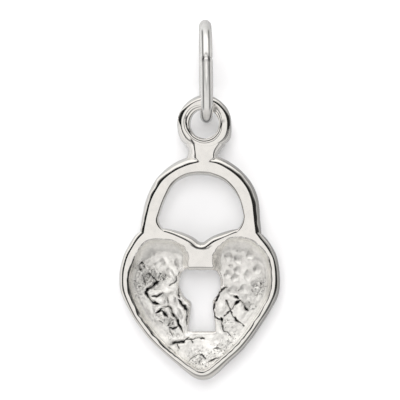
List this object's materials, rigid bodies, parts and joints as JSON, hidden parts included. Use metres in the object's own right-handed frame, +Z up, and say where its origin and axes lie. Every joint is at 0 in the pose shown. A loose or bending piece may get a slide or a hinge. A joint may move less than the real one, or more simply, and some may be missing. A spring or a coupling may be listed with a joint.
{
  "type": "heart lock pendant",
  "caption": "Silver charm cast as a heart padlock, its hollow side with a rough pan and a keyhole, hung from a jump ring.",
  "frame": {"origin": "on the axis of the chain's place, at the inner top of the jump ring, where the chain lies", "axes": "+Z up as it hangs, +X to the right as the hollow side is seen, the hollow side faces -Y, the chain runs along X"},
  "size_m": [0.0099, 0.0062, 0.0219],
  "materials": {
    "cast_silver": "polished silver on the rim, shackle, neck and eye, rough as cast in the pan",
    "wire_silver": "drawn silver wire, softly polished"
  },
  "bodies": {
    "ring": {"jump_ring": "wire_silver"},
    "lock": {"heart_lock": "cast_silver"}
  },
  "joints": [
    {"name": "lock_swing", "type": "hinge", "parent": "ring", "child": "lock", "pos_m": [0.00007, 0, -0.00519], "axis": [0, 1, 0], "range_deg": [-90, 90]}
  ]
}
